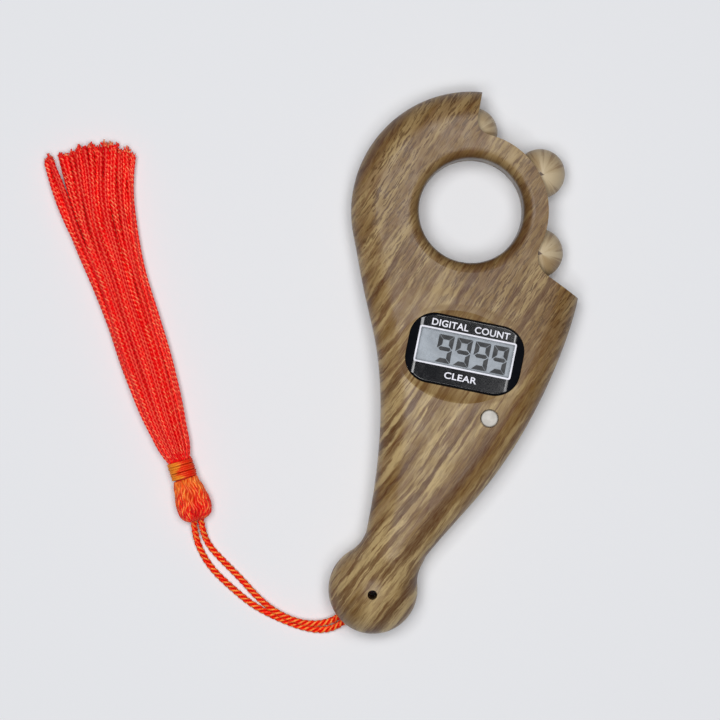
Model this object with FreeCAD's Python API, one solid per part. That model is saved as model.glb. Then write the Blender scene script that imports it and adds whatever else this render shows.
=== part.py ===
import FreeCAD, Part

import math
import os

from FreeCAD import Vector

# Hand tally counter, worn on one finger and counted with the thumb.
# Modelled lying on its back, millimetres, +Z up out of the display.
# X and Y are measured from the axis of the finger hole, +Y towards the head, and the finished
# pieces are shifted at the end so that the origin is under the middle of the counter.

# ---- Driving dimensions ----
HEAD_R = 26.4
FINGER_R = 11.5
FINGER_EDGE_R = 2.4
HEAD_TOP = 16.4
PARTING_Z = 8.2
WALL = 1.8
CROWN_R = 150.0
TOP_EDGE_R = 6.2
BACK_EDGE_R = 5.0
HEAD_END_ANGLE = 203.0

BULB_X, BULB_Y, BULB_Z = -4.5, -86.0, 9.3
BULB_R = 9.85
BULB_HALF_HEIGHT = 9.2
NECK_R = 7.1
NECK_FLARE_R = 7.0
NECK_LEAN = 15.8

COUNTER_X_MIN, COUNTER_X_MAX = -26.4, 27.06
COUNTER_Y_MIN, COUNTER_Y_MAX = -95.85, 26.4

# Bead wheel
BEAD_COUNT = 6
FIRST_BEAD_ANGLE = -20.0
BEAD_R = 5.5
BEAD_PITCH_R = 17.5
BEAD_SEAT_R = 14.6
TUBE_R = 12.7
CARRIER_CLEARANCE = 0.1
CARRIER_HALF_HEIGHT = 3.0
CHAMBER_R = 6.0
CHAMBER_HALF_HEIGHT = 3.3
HOLLOW_TOP = -17.5
PIN_R = 0.8
FLANGE_R = 17.0

# Cutaway beside the beads
CUT_X = -2.75
CUT_UPPER_R = 3.5
CUT_LOWER_R = 5.0
CUT_CORNER_X, CUT_CORNER_Y = 27.1, -14.2
CUT_SLOPE = 24.3

# Display
BEZEL_X, BEZEL_Y = 4.8, -31.2
BEZEL_LENGTH, BEZEL_WIDTH, BEZEL_CORNER_R = 25.5, 15.4, 5.6
BEZEL_TOP = 17.9
BEZEL_FLANGE_Z = 12.6
BEZEL_SEAT_Z = 13.6
BEZEL_EDGE_R = 0.5
BEZEL_END_LENGTH, BEZEL_END_DROP = 2.8, 0.8
WINDOW_X, WINDOW_Y = 4.8, -30.75
WINDOW_LENGTH, WINDOW_WIDTH = 21.6, 8.1
LENS_LENGTH, LENS_WIDTH = 23.0, 9.6
LENS_TOP, LENS_BOTTOM = 16.9, 15.9
CELL_BOTTOM = 14.1
REFLECTOR_BOTTOM = 13.8
ZEBRA_WIDTH = 1.4
DISH_LENGTH_R, DISH_WIDTH_R = 16.5, 11.0
DISH_DEPTH = 1.74
DISH_CURVE_HALF_HEIGHT = 4.0
FIT_GAP = 0.05

# Board, switch and button
BOARD_BOTTOM, BOARD_TOP = 8.2, 9.2
BUTTON_X, BUTTON_Y = 12.9, -43.9
BUTTON_R = 1.83
BUTTON_TOP = 18.25
BUTTON_FLANGE_R = 2.5
BUTTON_FLANGE_TOP = 14.6
BUTTON_STEM_BOTTOM = 11.5
BUTTON_GUIDE_GAP = 0.07
SWITCH_SIDE = 4.5
SWITCH_TOP = 10.9
PLUNGER_R = 0.8

# Battery and its door
BATTERY_X, BATTERY_Y = 4.0, -52.0
BATTERY_R = 5.8
BATTERY_BOTTOM, BATTERY_TOP = 2.4, 7.8
DOOR_R = 7.2
DOOR_THICKNESS = 1.8
DOOR_GAP = 0.08
TAB_R = 8.35
TAB_HALF_ANGLE = 18.0
TAB_ANGLES = (20.0, 200.0)
DOOR_TURN = 55.0

# Fasteners: self-tapping screws driven from the back
SCREWS = ((-12.5, -27.5), (21.8, -21.5), (-0.8, -66.0))
SCREW_R = 1.0
SCREW_HEAD_R = 1.9
SCREW_HEAD_SEAT = 2.4
SCREW_TIP = 13.6

# Lanyard hole through the bulb, and the cord's way out of it
LANYARD_X, LANYARD_Y = -4.5, -86.8
LANYARD_R = 1.05
LANYARD_TUBE_R = 1.75
CORD_D = 1.5
CORD_EXIT_ANGLE = 238.0
CORD_EXIT_DROP = 35.0
CORD_SPREAD = 0.79
KNOT_R = 2.05
KNOT_DISTANCE = 5.55

# Tassel
TASSEL_HEAD_START = (-45.3, -79.2)
TASSEL_NECK = (-52.45, -66.65)
TASSEL_AXIS_Z = 4.0

ORIGIN = Vector((COUNTER_X_MIN + COUNTER_X_MAX) / 2, (COUNTER_Y_MIN + COUNTER_Y_MAX) / 2, 0)
BULB_CENTRE = Vector(BULB_X, BULB_Y, BULB_Z)


# ---- Small helpers ----
def polar(radius, angle, z=0.0):
    turn = math.radians(angle)
    return Vector(radius * math.cos(turn), radius * math.sin(turn), z)


def unit(vector):
    return Vector(vector).normalize()


def line(start, end):
    return Part.LineSegment(start, end).toShape()


def arc(start, middle, end):
    return Part.Arc(start, middle, end).toShape()


def smooth_curve(points, start_direction, end_direction):
    curve = Part.BSplineCurve()
    curve.interpolate(Points=points, InitialTangent=start_direction, FinalTangent=end_direction)
    return curve


def disc(radius, low, high, x=0.0, y=0.0):
    return Part.makeCylinder(radius, high - low, Vector(x, y, low))


def ring(inner, outer, low, high, x=0.0, y=0.0):
    return disc(outer, low, high, x, y).cut(disc(inner, low - 1, high + 1, x, y))


def block(length, width, low, high, x, y):
    return Part.makeBox(length, width, high - low, Vector(x - length / 2, y - width / 2, low))


def rounded_block(length, width, corner, low, high, x, y):
    solid = block(length, width, low, high, x, y)
    uprights = [e for e in solid.Edges if abs(e.Vertexes[0].Z - e.Vertexes[1].Z) > 1e-6]
    return solid.makeFillet(corner, uprights)


def prism(points, low, high):
    corners = [Vector(x, y, low) for x, y in points]
    return Part.Face(Part.makePolygon(corners + corners[:1])).extrude(Vector(0, 0, high - low))


def strip(points, thickness, low, high):
    """A thin springy strip standing on edge, following points in plan."""
    left, right = [], []
    for i, (x, y) in enumerate(points):
        before = points[max(i - 1, 0)]
        after = points[min(i + 1, len(points) - 1)]
        run = math.hypot(after[0] - before[0], after[1] - before[1])
        across = (-(after[1] - before[1]) / run, (after[0] - before[0]) / run)
        left.append((x + across[0] * thickness / 2, y + across[1] * thickness / 2))
        right.append((x - across[0] * thickness / 2, y - across[1] * thickness / 2))
    return prism(left + right[::-1], low, high)


def edge_heights(edge):
    first, last = edge.FirstParameter, edge.LastParameter
    return [edge.valueAt(first + (last - first) * k / 4).z for k in range(5)]


# ---- Outer shape ----
LEFT_SIDE = ((-19.3, -22.5), (-15.05, -32), (-11.6, -43), (-9.6, -54), (-8.6, -66), (-8.6, -87))
RIGHT_SIDE = ((27.05, -14), (25.6, -27.5), (21.8, -43), (15.8, -58), (8.2, -71.5), (4.5, -79), (4.2, -87))
FACE_LINE = ((40, 16.4), (10, 16.4), (-8, 16.6), (-22, 17.8), (-34, 18.4), (-48, 18.2), (-60, 17.3),
             (-70, 16.4), (-80, 15.8), (-92, 15.6))
BACK_RISE = ((-58, 0.0), (-70, 1.4), (-80, 2.1), (-92, 2.4))


def side_curve(start, points, start_direction, inset):
    """One long side of the plan, moved in by inset along its own normal."""
    through = [start] + [Vector(x, y, 0) for x, y in points]
    end_direction = Vector(0, -1, 0)
    curve = smooth_curve(through, start_direction, end_direction)
    if not inset:
        return curve.toShape()
    side = 1 if through[1].x < 0 else -1
    moved = []
    for point in through:
        along = curve.tangent(curve.parameter(point))[0]
        moved.append(point + Vector(-along.y, along.x, 0) * inset * side)
    return smooth_curve(moved, start_direction, end_direction).toShape()


def plan_face(inset):
    radius = HEAD_R - inset
    left_start = polar(HEAD_R, HEAD_END_ANGLE)
    head = arc(Vector(radius, 0, 0), Vector(0, radius, 0), polar(radius, HEAD_END_ANGLE))
    left = side_curve(left_start, LEFT_SIDE, polar(1, HEAD_END_ANGLE + 90), inset)
    right = side_curve(Vector(HEAD_R, 0, 0), RIGHT_SIDE, Vector(0, -1, 0), inset)
    end = line(left.valueAt(left.LastParameter), right.valueAt(right.LastParameter))
    return Part.Face(Part.Wire(Part.sortEdges([head, left, end, right])[0]))


def crowned_block(inset):
    """Everything below the face line, which is turned about a deep axis so that the face is crowned."""
    curve = Part.BSplineCurve()
    curve.interpolate(Points=[Vector(0, y, z - inset) for y, z in FACE_LINE])
    top = curve.toShape()
    far, near = FACE_LINE[0], FACE_LINE[-1]
    deep = -60
    edges = [
        top,
        line(Vector(0, near[0], near[1] - inset), Vector(0, near[0], deep)),
        line(Vector(0, near[0], deep), Vector(0, far[0], deep)),
        line(Vector(0, far[0], deep), Vector(0, far[0], far[1] - inset)),
    ]
    face = Part.Face(Part.Wire(edges))
    half_turn = math.degrees(math.asin(50 / CROWN_R))
    axis = Vector(0, 0, -CROWN_R)
    face.rotate(axis, Vector(0, 1, 0), -half_turn)
    return face.revolve(axis, Vector(0, 1, 0), 2 * half_turn)


def back_block(inset):
    """Everything above the back: flat under the head and display, rising towards the neck."""
    x, high = -60, 60
    flat_end = BACK_RISE[0][0]
    rise_points = [Vector(x, y, z + inset) for y, z in BACK_RISE]
    rise = smooth_curve(rise_points, Vector(0, -1, 0), Vector(0, -1, 0.02))
    last_y, last_z = BACK_RISE[-1]
    edges = [
        line(Vector(x, 60, inset), Vector(x, flat_end, inset)),
        rise.toShape(),
        line(Vector(x, last_y, last_z + inset), Vector(x, last_y, high)),
        line(Vector(x, last_y, high), Vector(x, 60, high)),
        line(Vector(x, 60, high), Vector(x, 60, inset)),
    ]
    return Part.Face(Part.Wire(edges)).extrude(Vector(120, 0, 0))


def handle_body(inset):
    tall = plan_face(inset).extrude(Vector(0, 0, 60))
    tall.translate(Vector(0, 0, -20))
    body = tall.common(crowned_block(inset)).common(back_block(inset))
    face_edges = [e for e in body.Edges if min(edge_heights(e)) > 10]
    body = body.makeFillet(TOP_EDGE_R - inset, face_edges)
    back_edges = [e for e in body.Edges if max(edge_heights(e)) < 3.0 + inset]
    return body.makeFillet(BACK_EDGE_R - inset, back_edges)


def bulb_body(inset):
    """The bulb and the flare of its neck, turned about the handle's axis and slightly flattened."""
    ball, neck, flare = BULB_R - inset, NECK_R - inset, NECK_FLARE_R + inset
    reach = 20.0
    flare_y = math.sqrt((ball + flare) ** 2 - (neck + flare) ** 2)
    flare_x = neck + flare
    meet = Vector(flare_x, flare_y, 0) * (ball / (ball + flare))
    start = math.atan2(meet.y - flare_y, meet.x - flare_x) + 2 * math.pi
    half = (start + math.pi) / 2
    middle = Vector(flare_x + flare * math.cos(half), flare_y + flare * math.sin(half), 0)
    profile = [
        arc(Vector(0, -ball, 0), Vector(ball, 0, 0), meet),
        arc(meet, middle, Vector(neck, flare_y, 0)),
        line(Vector(neck, flare_y, 0), Vector(neck, reach, 0)),
        line(Vector(neck, reach, 0), Vector(0, reach, 0)),
        line(Vector(0, reach, 0), Vector(0, -ball, 0)),
    ]
    solid = Part.Face(Part.Wire(profile)).revolve(Vector(0, 0, 0), Vector(0, 1, 0), 360)
    solid.rotate(Vector(0, 0, 0), Vector(0, 0, 1), -NECK_LEAN)
    flatten = FreeCAD.Matrix()
    flatten.scale(1, 1, (BULB_HALF_HEIGHT - inset) / ball)
    solid = solid.transformGeometry(flatten)
    solid.translate(BULB_CENTRE)
    return solid


def whole_body(inset):
    return handle_body(inset).fuse(bulb_body(inset))


# ---- Spaces inside and around the shells ----
def cutaway():
    """The space in front of the thumb, where the shells are cut back to show the beads."""
    low, high, far = -5, 30, 60
    lean = math.radians(CUT_SLOPE)
    up = Vector(math.sin(lean), math.cos(lean), 0)
    along = Vector(math.cos(lean), -math.sin(lean), 0)
    upper_x = CUT_X + CUT_UPPER_R
    upper = Vector(upper_x, math.sqrt((FLANGE_R + CUT_UPPER_R) ** 2 - upper_x ** 2), 0)
    rise = up.dot(Vector(CUT_CORNER_X, CUT_CORNER_Y, 0)) + CUT_LOWER_R
    lower = up * rise + along * math.sqrt((FLANGE_R + CUT_LOWER_R) ** 2 - rise ** 2)
    upper_side, upper_meet = Vector(CUT_X, upper.y, 0), unit(upper) * FLANGE_R
    lower_meet, edge_meet = unit(lower) * FLANGE_R, lower - up * CUT_LOWER_R
    upper_turn = upper - unit(unit(upper) + Vector(1, 0, 0)) * CUT_UPPER_R
    lower_turn = lower - unit(unit(lower) + up) * CUT_LOWER_R
    outer_end = edge_meet + along * far
    edges = [
        line(Vector(CUT_X, far, 0), upper_side),
        arc(upper_side, upper_turn, upper_meet),
        arc(upper_meet, polar(FLANGE_R, 35), lower_meet),
        arc(lower_meet, lower_turn, edge_meet),
        line(edge_meet, outer_end),
        line(outer_end, Vector(outer_end.x, far, 0)),
        line(Vector(outer_end.x, far, 0), Vector(CUT_X, far, 0)),
    ]
    space = Part.Face(Part.Wire(edges)).extrude(Vector(0, 0, high - low))
    space.translate(Vector(0, 0, low))
    return space


def edge_wall():
    """A straight wall that closes the handle's hollow behind the cutaway's sloping edge."""
    lean = math.radians(CUT_SLOPE)
    wall = Part.makeBox(80, 40, 40, Vector(-20, -WALL, -5))
    wall.rotate(Vector(0, 0, 0), Vector(0, 0, 1), -CUT_SLOPE)
    up = Vector(math.sin(lean), math.cos(lean), 0)
    wall.translate(up * up.dot(Vector(CUT_CORNER_X, CUT_CORNER_Y, 0)))
    return wall


def wheel_chamber():
    torus = Part.makeTorus(BEAD_PITCH_R, CHAMBER_R, Vector(0, 0, PARTING_Z))
    low, high = PARTING_Z - CHAMBER_HALF_HEIGHT, PARTING_Z + CHAMBER_HALF_HEIGHT
    return torus.fuse(disc(BEAD_SEAT_R + 0.6, low, high)).cut(disc(TUBE_R, -5, 30))


def handle_hollow():
    """The hollow for the works, behind a round wall around the wheel."""
    chamber_wall = disc(CHAMBER_R + BEAD_PITCH_R + 1.5, -5, 30)
    blunt_tip = block(40, 20, -5, 30, -30, HOLLOW_TOP + 10)
    return whole_body(WALL).cut(chamber_wall).cut(edge_wall()).cut(blunt_tip)


def display_dish():
    scale = 1 / math.sqrt(1 - ((DISH_CURVE_HALF_HEIGHT - DISH_DEPTH) / DISH_CURVE_HALF_HEIGHT) ** 2)
    shape = FreeCAD.Matrix()
    shape.scale(DISH_LENGTH_R * scale, DISH_WIDTH_R * scale, DISH_CURVE_HALF_HEIGHT)
    dish = Part.makeSphere(1).transformGeometry(shape)
    dish.translate(Vector(BEZEL_X, BEZEL_Y, HEAD_TOP + 2.0 + DISH_CURVE_HALF_HEIGHT - DISH_DEPTH))
    return dish


def leaf_window():
    window = Part.makeBox(4.5, 6.5, 4.6, Vector(21.5, -3.25, 5.9))
    window.rotate(Vector(0, 0, 0), Vector(0, 0, 1), LEAF_ANGLE)
    return window


def cord_direction():
    drop = math.radians(CORD_EXIT_DROP)
    flat = polar(math.cos(drop), CORD_EXIT_ANGLE)
    return Vector(flat.x, flat.y, -math.sin(drop))


def cord_slot():
    """The slot in the bulb for the two strands, lying flat and sloping down out of the knot's hollow."""
    slot = rounded_block(3.3, 1.8, 0.85, 6.5, 14, 0, 0)
    slot.rotate(Vector(0, 0, 0), Vector(0, 1, 0), 90)
    slot.rotate(Vector(0, 0, 0), Vector(1, 0, 0), 90)
    slot.rotate(Vector(0, 0, 0), Vector(0, 1, 0), CORD_EXIT_DROP)
    slot.rotate(Vector(0, 0, 0), Vector(0, 0, 1), CORD_EXIT_ANGLE)
    slot.translate(BULB_CENTRE)
    return slot


# ---- Shells ----
def open_body(body):
    """The body's walls with every space that both shells share."""
    hole = disc(FINGER_R, -5, 30)
    body = body.cut(cutaway()).cut(hole)
    rims = [e for e in body.Edges if is_finger_rim(e)]
    body = body.makeFillet(FINGER_EDGE_R, rims)
    return body.cut(wheel_chamber()).cut(HOLLOW)


def is_finger_rim(edge):
    first, last = edge.FirstParameter, edge.LastParameter
    points = [edge.valueAt(first + (last - first) * k / 6) for k in range(7)]
    on_bore = all(abs(math.hypot(p.x, p.y) - FINGER_R) < 0.02 for p in points)
    return on_bore and edge.Length > 10


def half_space(low, high):
    return Part.makeBox(200, 260, high - low, Vector(-100, -160, low))


def front_shell():
    shell = OPEN_BODY.common(half_space(PARTING_Z, 40))
    pad = rounded_block(32, 21, 5, BEZEL_SEAT_Z, 25, BEZEL_X, BEZEL_Y)
    guide = disc(3.2, BUTTON_FLANGE_TOP, 25, BUTTON_X, BUTTON_Y)
    lanyard = disc(LANYARD_TUBE_R, PARTING_Z, 25, LANYARD_X, LANYARD_Y)
    inside = [pad, guide, lanyard]
    inside += [disc(2.4, PARTING_Z, 25, x, y) for x, y in SCREWS]
    inside += [disc(1.0, BOARD_TOP, 25, x, y) for x, y in BOARD_POSTS[2:]]
    shell = shell.fuse([part.common(BODY) for part in inside])
    shell = shell.cut(display_dish())
    gap = 2 * FIT_GAP
    opening = rounded_block(BEZEL_LENGTH + gap, BEZEL_WIDTH + gap, BEZEL_CORNER_R, 5, 25, BEZEL_X, BEZEL_Y)
    flange = rounded_block(28.2 + gap, 16.6 + gap, 5.5, BEZEL_FLANGE_Z - 0.2, BEZEL_SEAT_Z, BEZEL_X, BEZEL_Y)
    opening = opening.common(half_space(BEZEL_FLANGE_Z - 0.2, 25))
    button = disc(BUTTON_R + BUTTON_GUIDE_GAP, 10, 25, BUTTON_X, BUTTON_Y)
    button_recess = disc(BUTTON_R + 0.27, BUTTON_TOP - 1.5, 25, BUTTON_X, BUTTON_Y)
    lanyard_hole = disc(LANYARD_R, -5, 30, LANYARD_X, LANYARD_Y)
    flange_room = disc(BUTTON_FLANGE_R + 0.2, 10, BUTTON_FLANGE_TOP, BUTTON_X, BUTTON_Y)
    spaces = [opening, flange, button, button_recess, flange_room, leaf_window(), lanyard_hole]
    spaces += [disc(SCREW_R, 5, SCREW_TIP + 0.4, x, y) for x, y in SCREWS]
    for space in spaces:
        shell = shell.cut(space)
    return shell


def battery_well_parts():
    pad = disc(9.6, 0, 3.4, BATTERY_X, BATTERY_Y)
    wall = disc(BATTERY_R + 1.3, 3.0, 8.0, BATTERY_X, BATTERY_Y)
    return [pad, wall]


def door_sector(radius, low, high, middle, half_angle):
    sector = Part.makeCylinder(radius, high - low, Vector(0, 0, low), Vector(0, 0, 1), 2 * half_angle)
    sector.rotate(Vector(0, 0, 0), Vector(0, 0, 1), middle - half_angle)
    sector.translate(Vector(BATTERY_X, BATTERY_Y, 0))
    return sector


def battery_well_spaces():
    door_hole = disc(DOOR_R + DOOR_GAP, -5, DOOR_THICKNESS, BATTERY_X, BATTERY_Y)
    tab_groove = disc(TAB_R + 0.1, DOOR_THICKNESS, 2.6, BATTERY_X, BATTERY_Y)
    cell_hole = disc(BATTERY_R + 0.15, 2.0, 20, BATTERY_X, BATTERY_Y)
    contact_slot = block(3.3, 1.6, 3.4, 9, BATTERY_X, BATTERY_Y + BATTERY_R + 0.6)
    notches = [door_sector(TAB_R + 0.1, -5, DOOR_THICKNESS + 0.1, angle - DOOR_TURN, TAB_HALF_ANGLE + 1)
               for angle in TAB_ANGLES]
    return [door_hole, tab_groove, cell_hole, contact_slot] + notches


def rear_shell():
    shell = OPEN_BODY.common(half_space(-40, PARTING_Z))
    inside = battery_well_parts()
    inside += [disc(3.2, 0, PARTING_Z, x, y) for x, y in SCREWS]
    inside += [disc(1.0, 0, BOARD_BOTTOM, x, y) for x, y in BOARD_POSTS]
    inside.append(disc(LANYARD_TUBE_R, 0, PARTING_Z, LANYARD_X, LANYARD_Y))
    shell = shell.fuse([part.common(BODY) for part in inside])
    spaces = battery_well_spaces()
    spaces += [disc(SCREW_R + 0.15, -5, PARTING_Z + 1, x, y) for x, y in SCREWS]
    spaces += [disc(SCREW_HEAD_R + 0.2, -5, SCREW_HEAD_SEAT, x, y) for x, y in SCREWS]
    spaces += [leaf_window(), cord_slot(), disc(LANYARD_R, -5, 30, LANYARD_X, LANYARD_Y)]
    for space in spaces:
        shell = shell.cut(space)
    return shell


# ---- Display ----
def bezel_end_curves():
    """The room under the frame's top, which curves down towards the frame's two ends."""
    flat, end = BEZEL_LENGTH / 2 - BEZEL_END_LENGTH, BEZEL_LENGTH / 2
    low, drop = BEZEL_SEAT_Z - 1, BEZEL_END_DROP
    radius = (BEZEL_END_LENGTH ** 2 + drop ** 2) / (2 * drop)
    y, half_width = BEZEL_Y, BEZEL_WIDTH

    def point(x, z):
        return Vector(BEZEL_X + x, y - half_width, z)

    def end_arc(side):
        first, last = point(side * flat, BEZEL_TOP), point(side * end, BEZEL_TOP - drop)
        along = BEZEL_END_LENGTH / 2
        between = point(side * (flat + along), BEZEL_TOP - radius + math.sqrt(radius ** 2 - along ** 2))
        return Part.Arc(first, between, last).toShape()

    edges = [Part.makeLine(point(-flat, BEZEL_TOP), point(flat, BEZEL_TOP)), end_arc(1), end_arc(-1),
             Part.makeLine(point(end, BEZEL_TOP - drop), point(end, low)),
             Part.makeLine(point(end, low), point(-end, low)),
             Part.makeLine(point(-end, low), point(-end, BEZEL_TOP - drop))]
    outline = Part.Wire(Part.__sortEdges__(edges))
    return Part.Face(outline).extrude(Vector(0, 2 * half_width, 0))


def display_bezel():
    face = rounded_block(BEZEL_LENGTH, BEZEL_WIDTH, BEZEL_CORNER_R, BEZEL_SEAT_Z, BEZEL_TOP, BEZEL_X, BEZEL_Y)
    rim = [e for e in face.Edges if min(edge_heights(e)) > BEZEL_TOP - 0.01]
    face = face.makeFillet(BEZEL_EDGE_R, rim).common(bezel_end_curves())
    flange = rounded_block(28.2, 16.6, 5.5, BEZEL_FLANGE_Z, BEZEL_SEAT_Z, BEZEL_X, BEZEL_Y)
    window = rounded_block(WINDOW_LENGTH, WINDOW_WIDTH, 0.5, 10, 20, WINDOW_X, WINDOW_Y)
    gap = 2 * FIT_GAP
    pocket = block(LENS_LENGTH + gap, LENS_WIDTH + gap, 10, LENS_TOP, WINDOW_X, WINDOW_Y)
    return face.fuse(flange).cut(window).cut(pocket).removeSplitter()


def display_layer(low, high, width=LENS_WIDTH):
    return block(LENS_LENGTH, width, low, high, WINDOW_X, WINDOW_Y)


def zebra_strips():
    offset = (LENS_WIDTH - ZEBRA_WIDTH) / 2
    return [block(LENS_LENGTH - 0.4, ZEBRA_WIDTH, BOARD_TOP, CELL_BOTTOM, WINDOW_X, WINDOW_Y + side * offset)
            for side in (-1, 1)]


# ---- Board and its parts ----
BOARD_OUTLINE = ((-9, -25.5), (18.5, -25.5), (18.5, -38), (13, -55), (9, -59.5), (-4, -59.5), (-7, -45))
BOARD_POSTS = ((-6.5, -30.5), (16.0, -30.5), (-5.0, -46.5), (12.2, -50.4))


def board_components():
    """Small surface-mounted parts and the crystal, on the underside beside the battery well."""
    size = ((3.0, 1.6, 1.2), (-3.5, -36.0)), ((3.0, 1.6, 1.2), (9.5, -36.0)), ((6.2, 2.1, 2.0), (2.5, -31.0))
    return [block(length, width, BOARD_BOTTOM - height, BOARD_BOTTOM, x, y)
            for (length, width, height), (x, y) in size]


def controller_blob():
    """The chip bonded to the board under a low dome of black resin."""
    dome = Part.makeSphere(8.0)
    dome.translate(Vector(2.5, -39.5, BOARD_BOTTOM + 6.6))
    return dome.common(half_space(-40, BOARD_BOTTOM))


def reset_switch():
    body = block(SWITCH_SIDE, SWITCH_SIDE, BOARD_TOP, SWITCH_TOP, BUTTON_X, BUTTON_Y)
    return body.cut(disc(PLUNGER_R + 0.08, BOARD_TOP + 0.2, SWITCH_TOP + 1, BUTTON_X, BUTTON_Y))


def switch_plunger():
    return disc(PLUNGER_R, BOARD_TOP + 0.7, BUTTON_STEM_BOTTOM, BUTTON_X, BUTTON_Y)


def reset_button():
    cap = disc(BUTTON_R, BUTTON_FLANGE_TOP, BUTTON_TOP, BUTTON_X, BUTTON_Y)
    rim = [e for e in cap.Edges if min(edge_heights(e)) > BUTTON_TOP - 0.01]
    cap = cap.makeFillet(0.3, rim)
    flange = disc(BUTTON_FLANGE_R, BUTTON_FLANGE_TOP - 0.8, BUTTON_FLANGE_TOP, BUTTON_X, BUTTON_Y)
    stem = disc(1.2, BUTTON_STEM_BOTTOM, BUTTON_FLANGE_TOP - 0.8, BUTTON_X, BUTTON_Y)
    return cap.fuse(flange).fuse(stem).removeSplitter()


# ---- Battery ----
def battery_cell():
    can = disc(BATTERY_R, BATTERY_BOTTOM, BATTERY_TOP - 0.3, BATTERY_X, BATTERY_Y)
    can = can.makeFillet(0.5, [e for e in can.Edges if max(edge_heights(e)) < BATTERY_BOTTOM + 0.01])
    cap = disc(4.3, BATTERY_TOP - 0.3, BATTERY_TOP, BATTERY_X, BATTERY_Y)
    return can.fuse(cap).removeSplitter()


def contact_negative():
    """A low washer pressed between the battery's cap and the board."""
    return ring(0.9, 2.6, BATTERY_TOP, BOARD_BOTTOM, BATTERY_X, BATTERY_Y)


def contact_positive():
    """An upright strip that touches the side of the can."""
    thickness = 0.3
    y = BATTERY_Y + BATTERY_R + thickness / 2
    return block(2.8, thickness, 4.0, BOARD_BOTTOM, BATTERY_X, y)


def battery_door():
    door = disc(DOOR_R, 0, DOOR_THICKNESS, BATTERY_X, BATTERY_Y)
    rim = [e for e in door.Edges if max(edge_heights(e)) < 0.01]
    door = door.makeFillet(0.3, rim)
    boss = disc(5.0, DOOR_THICKNESS, BATTERY_BOTTOM - 0.05, BATTERY_X, BATTERY_Y)
    tabs = []
    for angle in TAB_ANGLES:
        sector = door_sector(TAB_R, DOOR_THICKNESS, 2.5, angle, TAB_HALF_ANGLE)
        tabs.append(sector.cut(disc(BATTERY_R + 0.25, 0, 5, BATTERY_X, BATTERY_Y)))
    door = door.fuse([boss] + tabs)
    return door.cut(block(9.0, 1.6, -1, 0.9, BATTERY_X, BATTERY_Y)).removeSplitter()


# ---- Bead wheel ----
def bead_angles():
    return [FIRST_BEAD_ANGLE + 360 / BEAD_COUNT * i for i in range(BEAD_COUNT)]


def bead_pin():
    """The pin of the bead at angle 0."""
    start = Vector(TUBE_R + 0.5, 0, PARTING_Z)
    return Part.makeCylinder(PIN_R, BEAD_PITCH_R + 1.0 - TUBE_R, start, Vector(1, 0, 0))


def turned(shape, angle):
    copy = shape.copy()
    copy.rotate(Vector(0, 0, 0), Vector(0, 0, 1), angle)
    return copy


def bead_carrier():
    low, high = PARTING_Z - CARRIER_HALF_HEIGHT, PARTING_Z + CARRIER_HALF_HEIGHT
    carrier = ring(TUBE_R + CARRIER_CLEARANCE, BEAD_SEAT_R, low, high)
    for angle in bead_angles():
        carrier = carrier.cut(turned(bead_pin(), angle))
    return carrier


def bead():
    """The bead at angle 0, flattened where it sits on the carrier."""
    ball = Part.makeSphere(BEAD_R, Vector(BEAD_PITCH_R, 0, PARTING_Z))
    return ball.cut(disc(BEAD_SEAT_R, -5, 30)).cut(bead_pin())


# ---- Counting leaf ----
LEAF_ANGLE = -50.0
LEAF_NOSE_R, LEAF_ARM_R, LEAF_SHOULDER_R = 20.2, 26.0, 26.6
LEAF_THICKNESS = 0.3
LEAF_LOW, LEAF_HIGH = 6.7, 9.7


def leaf_point(radius, across):
    """A point at this radius on the leaf's centre direction, moved sideways by across."""
    direction = polar(1, LEAF_ANGLE)
    return (direction.x * radius - direction.y * across, direction.y * radius + direction.x * across)


def click_leaf():
    """A spring leaf with a nose between two beads, fixed along the board's edge."""
    edge_y = BOARD_OUTLINE[0][1] + LEAF_THICKNESS / 2
    route = [(6.0, edge_y), (10.0, edge_y), leaf_point(LEAF_SHOULDER_R, -4.5), leaf_point(LEAF_ARM_R, -2.0),
             leaf_point(LEAF_NOSE_R + 0.6, -0.5), leaf_point(LEAF_NOSE_R + 0.6, 0.5),
             leaf_point(LEAF_ARM_R, 2.0), leaf_point(LEAF_SHOULDER_R, 3.2)]
    return strip(route, LEAF_THICKNESS, LEAF_LOW, LEAF_HIGH)


def count_contact():
    """The fixed contact that the leaf is pushed against as a bead goes by."""
    edge_y = BOARD_OUTLINE[0][1]
    foot_x = 17.3
    top = leaf_point(29.4, -1.3)
    return strip([(foot_x, edge_y), (foot_x + 0.1, edge_y + 0.8), top], 0.4, LEAF_LOW, LEAF_HIGH)


# ---- Screws ----
def shell_screw(x, y):
    head = disc(SCREW_HEAD_R, SCREW_HEAD_SEAT - 1.3, SCREW_HEAD_SEAT, x, y)
    head = head.makeFillet(0.4, [e for e in head.Edges if max(edge_heights(e)) < SCREW_HEAD_SEAT - 1.2])
    slot_top = SCREW_HEAD_SEAT - 0.6
    slots = [block(2.0, 0.5, 0, slot_top, x, y), block(0.5, 2.0, 0, slot_top, x, y)]
    shank = disc(SCREW_R, SCREW_HEAD_SEAT, SCREW_TIP - 1.0, x, y)
    tip = Part.makeCone(SCREW_R, 0.3, 1.0, Vector(x, y, SCREW_TIP - 1.0))
    return head.cut(slots[0]).cut(slots[1]).fuse([shank, tip]).removeSplitter()


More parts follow.
